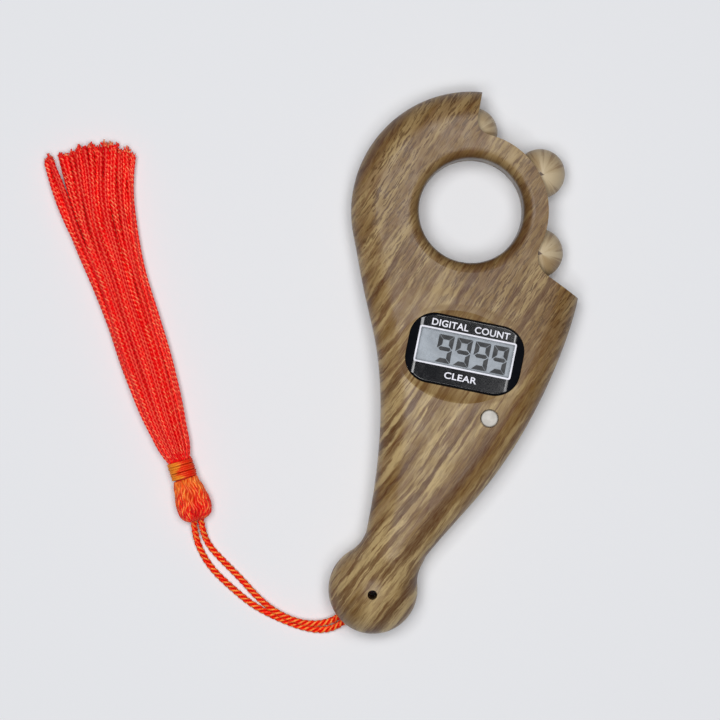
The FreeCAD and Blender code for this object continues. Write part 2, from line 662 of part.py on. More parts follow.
# ---- Cord and tassel ----
# Each strand's route runs from the knot in the bulb and down the slope of the slot. The second strand then
# leans on the first as far as the middle of the curve, where they part before the tassel's head.
STRAND_Z = CORD_D / 2 + 0.05
LEANING_Z = STRAND_Z + 1.2
STRAND_A = ((-13.2, -97.8, 1.0), (-18.4, -98.0, STRAND_Z), (-24.0, -97.0, STRAND_Z), (-29.8, -95.4, STRAND_Z),
            (-35.4, -92.4, STRAND_Z), (-40.4, -89.3, STRAND_Z), (-43.9, -85.6, STRAND_Z), (-45.9, -81.8, 2.0))
STRAND_B = ((-14.4, -96.4, 2.2), (-19.0, -97.0, LEANING_Z), (-24.4, -95.9, LEANING_Z), (-29.2, -93.4, 1.5),
            (-33.6, -90.1, STRAND_Z), (-38.2, -87.1, STRAND_Z), (-42.0, -84.4, STRAND_Z), (-44.2, -81.3, 2.1))


def strand_route(bends, side):
    way = cord_direction()
    across = polar(1, CORD_EXIT_ANGLE - 90) * (CORD_SPREAD * side)
    start = BULB_CENTRE + across + way * 7.3
    slope_end = BULB_CENTRE + across + way * 12.4
    head_start = Vector(TASSEL_HEAD_START[0], TASSEL_HEAD_START[1], TASSEL_AXIS_Z)
    neck = Vector(TASSEL_NECK[0], TASSEL_NECK[1], TASSEL_AXIS_Z)
    inward = unit(neck - head_start)
    sideways = Vector(inward.y, -inward.x, 0) * (CORD_SPREAD * side)
    end = head_start + inward * 1.6 + sideways
    return [start, slope_end] + [Vector(*point) for point in bends] + [end]


def cord_tube(points):
    """A round cord of straight runs joined by arcs that touch them."""
    edges, radii, start = [], [], points[0]
    for i in range(1, len(points) - 1):
        corner = points[i]
        back, on = unit(points[i - 1] - corner), unit(points[i + 1] - corner)
        half_turn = (math.pi - back.getAngle(on)) / 2
        shorter = min((points[i - 1] - corner).Length, (points[i + 1] - corner).Length)
        cut_back = 0.45 * shorter
        radii.append(cut_back / math.tan(half_turn))
        middle_distance = radii[-1] / math.cos(half_turn) - radii[-1]
        first, last = corner + back * cut_back, corner + on * cut_back
        edges += [line(start, first), arc(first, corner + unit(back + on) * middle_distance, last)]
        start = last
    edges.append(line(start, points[-1]))
    path = Part.Wire(edges)
    circle = Part.Wire(Part.makeCircle(CORD_D / 2, points[0], unit(points[1] - points[0])))
    tube = path.makePipeShell([circle], True, True)
    print("cord length", round(path.Length, 2), "tightest bend", round(min(radii), 2))
    print("cord volume ratio", round(tube.Volume / (path.Length * math.pi * CORD_D ** 2 / 4), 4))
    return tube


def cord_knot():
    knot = Part.makeSphere(KNOT_R)
    knot.translate(BULB_CENTRE + cord_direction() * KNOT_DISTANCE)
    return knot


def along_tassel(distance):
    start, neck = Vector(*TASSEL_HEAD_START, 0), Vector(*TASSEL_NECK, 0)
    return start + unit(neck - start) * distance


def tassel_turned(profile):
    """A round solid about the tassel's axis, from (distance, radius) points joined by a smooth curve."""
    start = along_tassel(0)
    axis = unit(along_tassel(1) - start)
    outward = Vector(0, 0, 1)
    base = start + Vector(0, 0, TASSEL_AXIS_Z)
    points = [base + axis * distance + outward * radius for distance, radius in profile]
    curve = Part.BSplineCurve()
    curve.interpolate(Points=points)
    first, last = base + axis * profile[0][0], base + axis * profile[-1][0]
    sides = [curve.toShape(), line(points[-1], last), line(last, first), line(first, points[0])]
    face = Part.Face(Part.Wire(sides))
    return face.revolve(base, axis, 360)


def tassel_head():
    return tassel_turned(((0.3, 1.7), (0.9, 2.9), (2.2, 3.75), (4.2, 3.9), (6.2, 3.6), (8.2, 3.15), (9.9, 2.8)))


def tassel_wrap():
    return tassel_turned(((9.9, 2.8), (10.8, 2.9), (12.2, 2.9), (13.6, 2.9), (14.4, 2.8)))


SKIRT_SECTIONS = ((-52.55, -66.47, 2.8, 2.8, 4.0), (-56.6, -59.8, 4.4, 3.2, 3.6), (-62.5, -49.3, 5.6, 3.3, 3.4),
                  (-68.4, -38.9, 5.8, 3.2, 3.3), (-74.1, -28.3, 6.2, 3.0, 3.1), (-79.6, -17.7, 7.5, 2.8, 2.9),
                  (-85.3, -1.8, 9.9, 2.4, 2.5))


def tassel_skirt():
    """The loose threads as one flattened spray: centre, half width, half height and axis height."""
    wires = []
    count = len(SKIRT_SECTIONS)
    for i, (x, y, half_width, half_height, z) in enumerate(SKIRT_SECTIONS):
        before, after = SKIRT_SECTIONS[max(i - 1, 0)], SKIRT_SECTIONS[min(i + 1, count - 1)]
        along = unit(Vector(after[0] - before[0], after[1] - before[1], 0))
        across = Vector(along.y, -along.x, 0)
        centre = Vector(x, y, z)
        ellipse = Part.Ellipse(centre + across * half_width, centre + Vector(0, 0, half_height), centre)
        wires.append(Part.Wire(ellipse.toShape()))
    return Part.makeLoft(wires, True, False)


# ---- Making and writing the pieces ----
BODY = whole_body(0)
HOLLOW = handle_hollow()
OPEN_BODY = open_body(BODY)

os.makedirs("parts", exist_ok=True)


def write(name, shape):
    solids = shape if isinstance(shape, list) else [shape]
    pieces = [solid.copy() for solid in solids]
    piece = pieces[0] if len(pieces) == 1 else Part.makeCompound(pieces)
    piece.translate(ORIGIN * -1)
    piece.exportStep("parts/" + name + ".step")
    box = piece.BoundBox
    print(name, "solids", len(piece.Solids), "valid", piece.isValid(), "volume", round(piece.Volume, 2),
          "z", round(box.ZMin, 2), round(box.ZMax, 2))


write("front_shell", front_shell())
write("rear_shell", rear_shell())
write("display_bezel", display_bezel())
write("display_lens", display_layer(LENS_BOTTOM, LENS_TOP))
write("lcd_cell", display_layer(CELL_BOTTOM, LENS_BOTTOM))
write("lcd_reflector", display_layer(REFLECTOR_BOTTOM, CELL_BOTTOM, LENS_WIDTH - 2 * ZEBRA_WIDTH - 0.2))
write("zebra_strips", zebra_strips())
write("main_board", prism(BOARD_OUTLINE, BOARD_BOTTOM, BOARD_TOP))
write("board_components", board_components())
write("controller_blob", controller_blob())
write("reset_button", reset_button())
write("switch_plunger", switch_plunger())
write("reset_switch", reset_switch())
write("battery_cell", battery_cell())
write("battery_contact_negative", contact_negative())
write("battery_contact_positive", contact_positive())
write("battery_door", battery_door())
write("bead_carrier", bead_carrier())
for number, angle in enumerate(bead_angles(), 1):
    write("bead_" + str(number), turned(bead(), angle))
write("bead_pins", [turned(bead_pin(), angle) for angle in bead_angles()])
write("click_leaf", click_leaf())
write("count_contact", count_contact())
write("shell_screws", [shell_screw(x, y) for x, y in SCREWS])
write("cord_strand_a", cord_tube(strand_route(STRAND_A, -1)))
write("cord_strand_b", cord_tube(strand_route(STRAND_B, 1)))
write("cord_knot", cord_knot())
write("tassel_head", tassel_head())
write("tassel_wrap", tassel_wrap())
write("tassel_skirt", tassel_skirt())
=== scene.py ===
"""The looks of a hand tally counter with a red tassel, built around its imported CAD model."""

import math

import bpy
import numpy as np
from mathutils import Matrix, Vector


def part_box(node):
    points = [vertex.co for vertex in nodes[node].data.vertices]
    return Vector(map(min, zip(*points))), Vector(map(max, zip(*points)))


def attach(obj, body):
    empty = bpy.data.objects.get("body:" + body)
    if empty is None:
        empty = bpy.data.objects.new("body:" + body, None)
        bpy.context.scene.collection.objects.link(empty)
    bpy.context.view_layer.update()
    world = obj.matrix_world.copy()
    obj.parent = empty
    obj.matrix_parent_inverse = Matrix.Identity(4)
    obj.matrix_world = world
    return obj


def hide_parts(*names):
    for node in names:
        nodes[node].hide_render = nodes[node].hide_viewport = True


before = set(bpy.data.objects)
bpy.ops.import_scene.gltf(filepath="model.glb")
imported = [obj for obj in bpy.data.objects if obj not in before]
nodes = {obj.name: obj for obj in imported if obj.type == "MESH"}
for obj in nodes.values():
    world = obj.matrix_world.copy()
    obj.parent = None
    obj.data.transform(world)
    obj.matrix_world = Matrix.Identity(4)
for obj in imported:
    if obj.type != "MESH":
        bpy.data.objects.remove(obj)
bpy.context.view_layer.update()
scene = bpy.context.scene
chance = np.random.default_rng(7)

MM = 0.001


def middle(node):
    """The middle of the box round a node."""
    low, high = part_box(node)
    return (low + high) / 2


def top(node):
    """The height of a node's top, in millimetres."""
    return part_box(node)[1].z / MM


WHEEL = middle("bead_carrier")


def place(x, y, z):
    """A point given in millimetres from the bead wheel's axis and from the table."""
    return Vector((WHEEL.x + x * MM, WHEEL.y + y * MM, z * MM))


# ---- Camera ----
# The camera looks straight down. The view's width is measured at the height of the counter's face. Lengths
# are in metres, apart from the view's centre, in millimetres from the bead wheel's axis. The turn is in degrees.
CAMERA_HEIGHT = 0.9
FACE_HEIGHT = 0.0164
VIEW_WIDTH = 0.1577
VIEW_CENTRE = (-17.4, -37.0)
CAMERA_TURN = 11.5
SENSOR_WIDTH = 36

camera_data = bpy.data.cameras.new("camera")
camera_data.sensor_width = SENSOR_WIDTH
camera_data.lens = SENSOR_WIDTH * (CAMERA_HEIGHT - FACE_HEIGHT) / VIEW_WIDTH
camera = bpy.data.objects.new("camera", camera_data)
camera.location = place(*VIEW_CENTRE, CAMERA_HEIGHT / MM)
camera.rotation_euler = (0, 0, math.radians(CAMERA_TURN))
scene.collection.objects.link(camera)
scene.camera = camera


# ---- Meshes ----
def link(name, mesh):
    """A new piece of the scene with the given mesh."""
    piece = bpy.data.objects.new(name, mesh)
    scene.collection.objects.link(piece)
    return piece


def smooth_through(stations, values, wanted):
    """Values at the wanted stations, on smooth curves through the given ones."""
    stations, values = np.array(stations, float), np.array(values, float)
    slopes = np.gradient(values, stations, axis=0)
    wanted = np.clip(wanted, stations[0], stations[-1])
    i = np.clip(np.searchsorted(stations, wanted, side="right") - 1, 0, len(stations) - 2)
    step = stations[i + 1] - stations[i]
    t = (wanted - stations[i]) / step
    if values.ndim > 1:
        t, step = t[:, None], step[:, None]
    a = (2 * t ** 3 - 3 * t ** 2 + 1) * values[i] + (t ** 3 - 2 * t ** 2 + t) * step * slopes[i]
    b = (3 * t ** 2 - 2 * t ** 3) * values[i + 1] + (t ** 3 - t ** 2) * step * slopes[i + 1]
    return a + b


def distances(path):
    """How far along the path each of its points is."""
    return np.concatenate([[0], np.cumsum(np.linalg.norm(np.diff(path, axis=0), axis=1))])


def evenly(path, spacing):
    """The path's points again, spaced evenly."""
    along = distances(path)
    count = max(int(round(along[-1] / spacing)), 2) + 1
    wanted = np.linspace(0, along[-1], count)
    return np.stack([np.interp(wanted, along, path[:, k]) for k in range(3)], axis=1)


def frames_along(path):
    """Two directions across the path at each point, which turn as little as they can."""
    tangents = np.gradient(path, axis=0)
    tangents /= np.linalg.norm(tangents, axis=1)[:, None]
    first = np.cross(tangents[0], (0.0, 0.0, 1.0))
    if np.linalg.norm(first) < 0.1:
        first = np.cross(tangents[0], (0.0, 1.0, 0.0))
    normals = np.zeros_like(path)
    normal = first / np.linalg.norm(first)
    for i, tangent in enumerate(tangents):
        normal = normal - tangent * (normal @ tangent)
        normal /= np.linalg.norm(normal)
        normals[i] = normal
    return normals, np.cross(tangents, normals)


def tube_faces(index):
    """Faces between rings of point numbers, with both ends closed."""
    nearer, further = index[:-1], index[1:]
    beside_nearer, beside_further = np.roll(nearer, -1, axis=1), np.roll(further, -1, axis=1)
    quads = np.stack([nearer, beside_nearer, beside_further, further], axis=-1)
    return quads.reshape(-1, 4).tolist() + [index[0][::-1].tolist(), index[-1].tolist()]


# A tube's radius at its rounded ends, as a share of its radius elsewhere.
END_SHARE = 0.45
# How far from its middle a laid cord is neither crest nor valley, and the reach of both, in millimetres.
CREST_MIDDLE = 0.62
CREST_RANGE = 0.12


class Threads:
    """A mesh of many thin tubes, each with a shade of its own."""

    def __init__(self):
        self.points, self.faces, self.count = [], [], 0
        self.shades, self.alongs, self.crests = [], [], []

    def add(self, path, radius, sides, lobes=0, depth=0.0, lay=1.0, shade=0.5, phase=0.0,
            round_ends=True, core=None):
        """A tube with a lobed cross-section that makes a full turn in each length of lay.

        Its crests are its lobes, or its outer side where it is laid round a core line."""
        n = len(path)
        radius = np.broadcast_to(np.asarray(radius, float), (n,)).copy()
        along = distances(path)
        if round_ends:
            radius[[0, -1]] *= END_SHARE
        across, up = frames_along(path)
        angle = np.arange(sides) * 2 * math.pi / sides
        turned = angle[None, :] + 2 * math.pi * along[:, None] / lay
        crest = np.tile(np.cos(lobes * angle + phase), (n, 1))
        lobed = 1 + depth * crest
        reach = radius[:, None] * lobed
        ring = (path[:, None, :] + across[:, None, :] * (np.cos(turned) * reach)[:, :, None]
                + up[:, None, :] * (np.sin(turned) * reach)[:, :, None])
        if core is not None:
            from_core = np.linalg.norm(ring - core[:, None, :], axis=2) / MM
            crest = np.clip((from_core - CREST_MIDDLE) / CREST_RANGE, -1, 1)
        self.points.append(ring.reshape(-1, 3))
        self.faces += tube_faces(self.count + np.arange(n * sides).reshape(n, sides))
        self.shades.append(np.repeat(np.broadcast_to(shade, (n,)), sides))
        self.alongs.append(np.repeat(along / MM, sides))
        self.crests.append(crest.reshape(-1))
        self.count += n * sides

    def piece(self, name):
        """A piece made of all the tubes, with their values stored for the thread materials."""
        mesh = bpy.data.meshes.new(name)
        mesh.from_pydata(np.concatenate(self.points).tolist(), [], self.faces)
        for key, values in (("shade", self.shades), ("along", self.alongs), ("crest", self.crests)):
            attribute = mesh.attributes.new(key, "FLOAT", "POINT")
            attribute.data.foreach_set("value", np.concatenate(values).astype(np.float32))
        mesh.shade_smooth()
        mesh.update()
        return link(name, mesh)


def rounded_outline(length, width, corner, steps=8):
    """Points round a rectangle with rounded corners, centred on the origin, anticlockwise."""
    points = []
    for quarter, (sign_x, sign_y) in enumerate(((1, 1), (-1, 1), (-1, -1), (1, -1))):
        for step in range(steps + 1):
            angle = math.radians(90 * quarter + 90 * step / steps)
            points.append((sign_x * (length / 2 - corner) + corner * math.cos(angle),
                           sign_y * (width / 2 - corner) + corner * math.sin(angle)))
    return points


def ring_piece(name, centre, outer, inner, low, high):
    """A flat frame between two outlines of as many points, in millimetres."""
    count = len(outer)
    points = [place(centre[0] + x, centre[1] + y, z) for z in (low, high) for x, y in outer + inner]
    faces = []
    for i in range(count):
        j = (i + 1) % count
        bottom_outer, bottom_inner, top_outer, top_inner = 0, count, 2 * count, 3 * count
        faces.append((bottom_outer + i, bottom_outer + j, top_outer + j, top_outer + i))
        faces.append((top_outer + i, top_outer + j, top_inner + j, top_inner + i))
        faces.append((top_inner + i, top_inner + j, bottom_inner + j, bottom_inner + i))
        faces.append((bottom_inner + i, bottom_inner + j, bottom_outer + j, bottom_outer + i))
    mesh = bpy.data.meshes.new(name)
    mesh.from_pydata(points, [], faces)
    mesh.update()
    return link(name, mesh)


def plates_piece(name, outlines, low, high):
    """Thin plates with the given outlines, in millimetres."""
    points, faces = [], []
    for outline in outlines:
        start, count = len(points), len(outline)
        points += [place(x, y, z) for z in (low, high) for x, y in outline]
        faces.append(tuple(start + i for i in reversed(range(count))))
        faces.append(tuple(start + count + i for i in range(count)))
        for i in range(count):
            j = (i + 1) % count
            faces.append((start + i, start + j, start + count + j, start + count + i))
    mesh = bpy.data.meshes.new(name)
    mesh.from_pydata(points, [], faces)
    mesh.update()
    return link(name, mesh)


# ---- Materials ----
def rgb(red, green, blue):
    """A colour from its usual 0 to 255 values."""
    values = [v / 255 for v in (red, green, blue)]
    return tuple(v / 12.92 if v <= 0.04045 else ((v + 0.055) / 1.055) ** 2.4 for v in values) + (1.0,)


class Recipe:
    """A material, made one node at a time. Each step returns what it makes, for the next steps."""

    def __init__(self, name):
        self.material = bpy.data.materials.new(name)
        self.material.use_nodes = True
        self.tree = self.material.node_tree
        self.tree.nodes.clear()

    def make(self, kind, inputs, **settings):
        """A shader node with its inputs linked or set, and its own settings."""
        node = self.tree.nodes.new("ShaderNode" + kind)
        for key, value in settings.items():
            setattr(node, key, value)
        for key, value in inputs.items():
            if isinstance(value, bpy.types.NodeSocket):
                self.tree.links.new(value, node.inputs[key])
            else:
                node.inputs[key].default_value = value
        return node

    def position(self, offset=(0, 0, 0)):
        """The point's place on the object in millimetres."""
        own = self.make("TexCoord", {}).outputs["Object"]
        return self.stretch(own, (1 / MM,) * 3, offset)

    def stretch(self, vector, scale, offset=(0, 0, 0)):
        return self.make("Mapping", {"Vector": vector, "Scale": scale, "Location": offset}).outputs["Vector"]

    def noise(self, vector, detail=2.0, roughness=0.5):
        inputs = {"Vector": vector, "Scale": 1.0, "Detail": detail, "Roughness": roughness}
        return self.make("TexNoise", inputs).outputs[0]

    def between(self, value, low, high, start=0.0, end=1.0):
        """Start where the value is below low, end where it is above high, and a smooth step between."""
        inputs = {"Value": value, "From Min": low, "From Max": high, "To Min": start, "To Max": end}
        return self.make("MapRange", inputs, interpolation_type="SMOOTHSTEP", clamp=True).outputs[0]

    def math(self, operation, a, b=0.0):
        """One step of arithmetic."""
        return self.make("Math", {0: a, 1: b}, operation=operation).outputs[0]

    def sum(self, a, b):
        return self.math("ADD", a, b)

    def times(self, a, b):
        return self.math("MULTIPLY", a, b)

    def length(self, x, y):
        """The length of a flat vector."""
        return self.math("SQRT", self.sum(self.times(x, x), self.times(y, y)))

    def mix(self, factor, a, b):
        """Colour a where the factor is 0, and colour b where it is 1."""
        return self.make("Mix", {0: factor, 6: a, 7: b}, data_type="RGBA").outputs[2]

    def parts(self, vector):
        return self.make("SeparateXYZ", {0: vector}).outputs

    def vector(self, x, y, z):
        return self.make("CombineXYZ", {0: x, 1: y, 2: z}).outputs[0]

    def attribute(self, name):
        return self.make("Attribute", {}, attribute_name=name).outputs["Fac"]

    def bump(self, height, distance_mm):
        return self.make("Bump", {"Height": height, "Distance": distance_mm * MM}).outputs[0]

    def finish(self, **inputs):
        """A Principled surface, with inputs named as Blender names them, spaces left out."""
        shader = self.make("BsdfPrincipled", {})
        names = {key.replace(" ", ""): key for key in shader.inputs.keys()}
        for key, value in inputs.items():
            socket = shader.inputs[names[key]]
            if isinstance(value, bpy.types.NodeSocket):
                self.tree.links.new(value, socket)
            else:
                socket.default_value = value
        self.make("OutputMaterial", {"Surface": shader.outputs[0]})
        return self.material


def shaded(colour, share):
    """The colour with its light multiplied by a share."""
    return tuple(v * share for v in colour[:3]) + (1.0,)


# ---- Wood film ----
# The grain's turn on the counter in degrees. Lengths are in millimetres, from the bead wheel's axis.
GRAIN_TURN = -66.0
HOLE_R = 11.5
# The width of the painted shade round the finger hole.
HOLE_SHADE_WIDTH = 2.6
# The dish round the display: its slopes above and below the display get painted shade.
DISH_CENTRE = (4.8, -31.2)
DISH_REACH = (16.5, 11.0)
# Above this height the print is the same at every height. Below it, down the walls, it changes slowly.
WALL_TOP = 13.0
WALL_CHANGE = 0.12
# The height in the solid grain at which the front face cuts through it.
FACE_SLICE = 6.0
# Along the grain, the print changes from the handle's to the head's between these two places.
HEAD_FROM, HEAD_TO = -34, -8
# The print's long dark bands: place across the grain, half width, start and end along the grain.
WOOD_BANDS = (
    (32.2, 1.25, -73, -36), (26.2, 0.65, -67, -33), (37.0, 1.0, -91, -62), (14.2, 0.75, -60, -36),
    (8.0, 0.85, -46, 8), (24.2, 0.9, -20, 0), (-24.6, 0.7, -16, 14), (29.5, 0.5, -92, -84),
    (20.8, 0.45, -74, -50), (12.4, 0.55, -14, 4), (-7.5, 0.6, -34, -14), (18.5, 0.5, -14, -3),
)
PALE_WOOD = rgb(182, 157, 110)
DARK_WOOD = rgb(124, 94, 53)
HEAD_TINT = rgb(112, 82, 44)
STREAK_BROWN = rgb(96, 60, 32)
PURPLE_BROWN = rgb(112, 78, 54)
DASH_BROWN = rgb(78, 46, 20)
BAND_BROWN = rgb(86, 52, 28)
PALE_FIBRE = rgb(182, 162, 120)
# Painted shade colours, round the finger hole and on the dish's slopes.
HOLE_SHADE = rgb(84, 56, 28)
DISH_SHADE = rgb(108, 76, 28)


def band_share(recipe, across, along, dash, band):
    """How much of a dark band there is, with ragged sides and faded ends."""
    r = recipe
    place_across, half_width, start, end = band
    off = r.math("ABSOLUTE", r.sum(across, -place_across))
    ragged = r.sum(off, r.times(r.sum(dash, -0.5), -half_width * 2.0))
    sides = r.between(ragged, half_width * 0.4, half_width * 1.3, 0.9, 0.0)
    started = r.between(along, start - 4, start + 5)
    ended = r.between(along, end - 5, end + 4, 1.0, 0.0)
    return r.times(sides, r.times(started, ended))


def wood_layers(recipe, along, across, height):
    """The printed grain's colour and its dark part, from millimetres along the grain, across it and up."""
    r = recipe
    plain = r.vector(along, across, height)
    bend = r.times(r.sum(r.noise(r.stretch(plain, (0.02, 0.03, 0.02)), detail=1), -0.5), 6.0)
    ragged = r.noise(r.stretch(plain, (0.35, 0.9, 0.5)), detail=3, roughness=0.6)
    shifted = r.sum(across, r.sum(bend, r.times(r.sum(ragged, -0.5), 0.8)))
    down_wall = r.times(r.sum(r.math("MINIMUM", height, WALL_TOP), -WALL_TOP), WALL_CHANGE)
    grain = r.vector(along, shifted, r.sum(down_wall, FACE_SLICE))
    head_share = r.between(along, HEAD_FROM, HEAD_TO)

    tone = r.noise(r.stretch(grain, (0.03, 0.26, 0.26)), detail=4, roughness=0.6)
    colour = r.mix(r.between(tone, 0.4, 0.6), PALE_WOOD, DARK_WOOD)
    colour = r.mix(r.times(head_share, 0.35), colour, HEAD_TINT)
    streak = r.noise(r.stretch(grain, (0.065, 0.95, 0.9), (7, 3, 0)), detail=4, roughness=0.55)
    streak_share = r.sum(0.85, r.times(head_share, -0.3))
    colour = r.mix(r.times(r.between(streak, 0.5, 0.6), streak_share), colour, STREAK_BROWN)
    purple = r.noise(r.stretch(grain, (0.06, 0.75, 0.7), (11, 2, 0)), detail=4, roughness=0.55)
    colour = r.mix(r.between(purple, 0.54, 0.63, 0, 0.45), colour, PURPLE_BROWN)

    patches = r.noise(r.stretch(grain, (0.05, 0.12, 0.1), (2, 9, 0)), detail=2)
    dash = r.noise(r.stretch(grain, (0.3, 2.3, 1.8), (1, 5, 0)), detail=4, roughness=0.6)
    dash_share = r.times(r.between(patches, 0.3, 0.6, 0.5, 1.0), r.sum(r.times(head_share, 0.6), 0.3))
    dark = r.times(r.between(dash, 0.51, 0.575), dash_share)
    colour = r.mix(dark, colour, DASH_BROWN)
    for band in WOOD_BANDS:
        share = band_share(r, shifted, along, dash, band)
        colour = r.mix(share, colour, BAND_BROWN)
        dark = r.math("MAXIMUM", dark, share)
    fibre = r.noise(r.stretch(grain, (0.4, 5.0, 4.0)), detail=2)
    colour = r.mix(r.between(fibre, 0.35, 0.65, 0.0, 0.16), colour, PALE_FIBRE)
    return colour, dark


def film_finish(recipe, colour, dark, position):
    """The film's soft gloss, with smears, and a surface that sinks a little where the print is dark."""
    r = recipe
    smear = r.noise(r.stretch(position, (0.35, 0.35, 0.35)), detail=3)
    orange_peel = r.noise(r.stretch(position, (2.2, 2.2, 2.2)), detail=2)
    height = r.sum(r.times(orange_peel, 0.5), r.times(dark, -0.25))
    return r.finish(BaseColor=colour, Roughness=r.between(smear, 0.3, 0.7, 0.33, 0.43),
                    SpecularIORLevel=0.2, Normal=r.bump(height, 0.010))


def wood_film(name, offset):
    """Wood grain printed on a film over plastic: short dashes all over, and long ragged dark bands.

    The film has painted shade round the finger hole and on the slopes above and below the display.
    The offset moves the grain, in millimetres."""
    r = Recipe(name)
    from_wheel = r.position((offset[0] - WHEEL.x / MM, offset[1] - WHEEL.y / MM, 0))
    turn = (0, 0, math.radians(GRAIN_TURN))
    turned = r.make("Mapping", {"Vector": from_wheel, "Rotation": turn}).outputs[0]
    along, left, height = r.parts(turned)
    colour, dark = wood_layers(r, along, r.times(left, -1.0), height)

    x, y, z = r.parts(r.position((-WHEEL.x / MM, -WHEEL.y / MM, 0)))
    # Painted shade round the finger hole.
    hole_shade = r.between(r.length(x, y), HOLE_R, HOLE_R + HOLE_SHADE_WIDTH, 0.5, 0.0)
    colour = r.mix(hole_shade, colour, HOLE_SHADE)
    # Painted shade on the dish's slopes above and below the display, on the front face only.
    u = r.times(r.sum(x, -DISH_CENTRE[0]), 1 / DISH_REACH[0])
    v = r.times(r.sum(y, -DISH_CENTRE[1]), 1 / DISH_REACH[1])
    in_dish = r.between(r.length(u, v), 0.94, 1.0, 1.0, 0.0)
    above_or_below = r.between(r.math("ABSOLUTE", v), 0.45, 0.8, 0.0, 0.5)
    on_front = r.between(z, WALL_TOP - 1, WALL_TOP)
    colour = r.mix(r.times(in_dish, r.times(above_or_below, on_front)), colour, DISH_SHADE)
    return film_finish(r, colour, dark, from_wheel)


def bead_film(name, centre):
    """The same film shrunk over a bead, where its grain gathers into faint rays at the front."""
    r = Recipe(name)
    position = r.position((-centre.x / MM - 0.4, -centre.y / MM + 0.3, -centre.z / MM))
    x, y, _ = r.parts(position)
    away = r.length(x, y)
    low = r.sum(away, 0.05)
    ragged = r.noise(r.stretch(position, (0.6, 0.6, 0.6)), detail=3)
    lift = r.sum(r.times(ragged, 0.3), r.times(away, 0.04))
    ray = r.vector(r.math("DIVIDE", x, low), r.math("DIVIDE", y, low), lift)
    broad = r.noise(r.stretch(ray, (0.8, 0.8, 1.0), (0, 0, centre.x / MM)), detail=2)
    fine = r.noise(r.stretch(ray, (7.0, 7.0, 2.5), (0, 0, centre.y / MM)), detail=3, roughness=0.6)
    edge = r.between(away, 1.2, 5.2)
    colour = r.mix(r.between(broad, 0.36, 0.6), rgb(200, 182, 150), rgb(168, 144, 108))
    lines = r.times(r.between(fine, 0.50, 0.64), r.sum(r.times(edge, 0.5), 0.08))
    colour = r.mix(lines, colour, rgb(104, 70, 40))
    colour = r.mix(r.times(edge, 0.3), colour, rgb(124, 94, 56))
    pole = r.between(r.sum(r.times(x, 0.5), r.math("ABSOLUTE", y)), 0.28, 0.1, 0.0, 0.9)
    pole = r.times(pole, r.between(away, 1.0, 0.6))
    colour = r.mix(pole, colour, rgb(72, 44, 26))
    return film_finish(r, colour, lines, position)


# ---- Plastics and metals ----
def moulded(name, colour, roughness, bump_mm=0.012):
    """Moulded plastic: slight mottling, and a fine texture from the mould."""
    r = Recipe(name)
    position = r.position()
    mottle = r.noise(r.stretch(position, (0.25, 0.25, 0.25)), detail=4)
    texture = r.noise(r.stretch(position, (3.6, 3.6, 3.6)), detail=3)
    tint = r.mix(r.between(mottle, 0.3, 0.7), colour, shaded(colour, 0.82))
    wear = r.noise(r.stretch(position, (0.9, 0.9, 0.9)), detail=5)
    worn = r.between(wear, 0.35, 0.7, roughness, roughness + 0.12)
    return r.finish(BaseColor=tint, Roughness=worn, Normal=r.bump(texture, bump_mm))


def glossy(name, colour):
    """Smooth gloss plastic, with faint dust that dulls it here and there."""
    r = Recipe(name)
    position = r.position()
    dust = r.noise(r.stretch(position, (0.7, 0.7, 0.7)), detail=5, roughness=0.7)
    tint = r.mix(r.between(dust, 0.4, 0.8), colour, shaded(colour, 1.5))
    dulled = r.between(dust, 0.4, 0.8, 0.085, 0.11)
    return r.finish(BaseColor=tint, Roughness=dulled, SpecularIORLevel=0.3)


def brushed(name, colour, roughness):
    """Metal with fine lines left by its making."""
    r = Recipe(name)
    position = r.position()
    lines = r.noise(r.stretch(position, (0.3, 8.0, 8.0)), detail=4)
    stain = r.noise(r.stretch(position, (0.4, 0.4, 0.4)), detail=4)
    tint = r.mix(r.between(stain, 0.3, 0.75), colour, shaded(colour, 0.72))
    rough = r.between(lines, 0.2, 0.8, roughness, roughness + 0.2)
    return r.finish(BaseColor=tint, Metallic=1.0, Roughness=rough, Normal=r.bump(lines, 0.006))


def clear_window(name):
    """A thin clear window: mostly seen through, with a gloss of its own and faint rubbing marks."""
    r = Recipe(name)
    position = r.position()
    rubbed = r.noise(r.stretch(position, (0.4, 3.0, 1.0)), detail=4)
    rough = r.between(rubbed, 0.4, 0.8, 0.02, 0.05)
    gloss = r.make("BsdfGlossy", {"Color": (1, 1, 1, 1), "Roughness": rough})
    through = r.make("BsdfTransparent", {"Color": (0.96, 0.97, 0.975, 1)})
    edge = r.make("Fresnel", {"IOR": 1.45}).outputs[0]
    mixed = r.make("MixShader", {0: edge, 1: through.outputs[0], 2: gloss.outputs[0]})
    r.make("OutputMaterial", {"Surface": mixed.outputs[0]})
    return r.material


# A warm painted highlight that starts further along than any thread reaches.
NEVER_WARM = (1e6, 1e6, (1, 1, 1, 1))


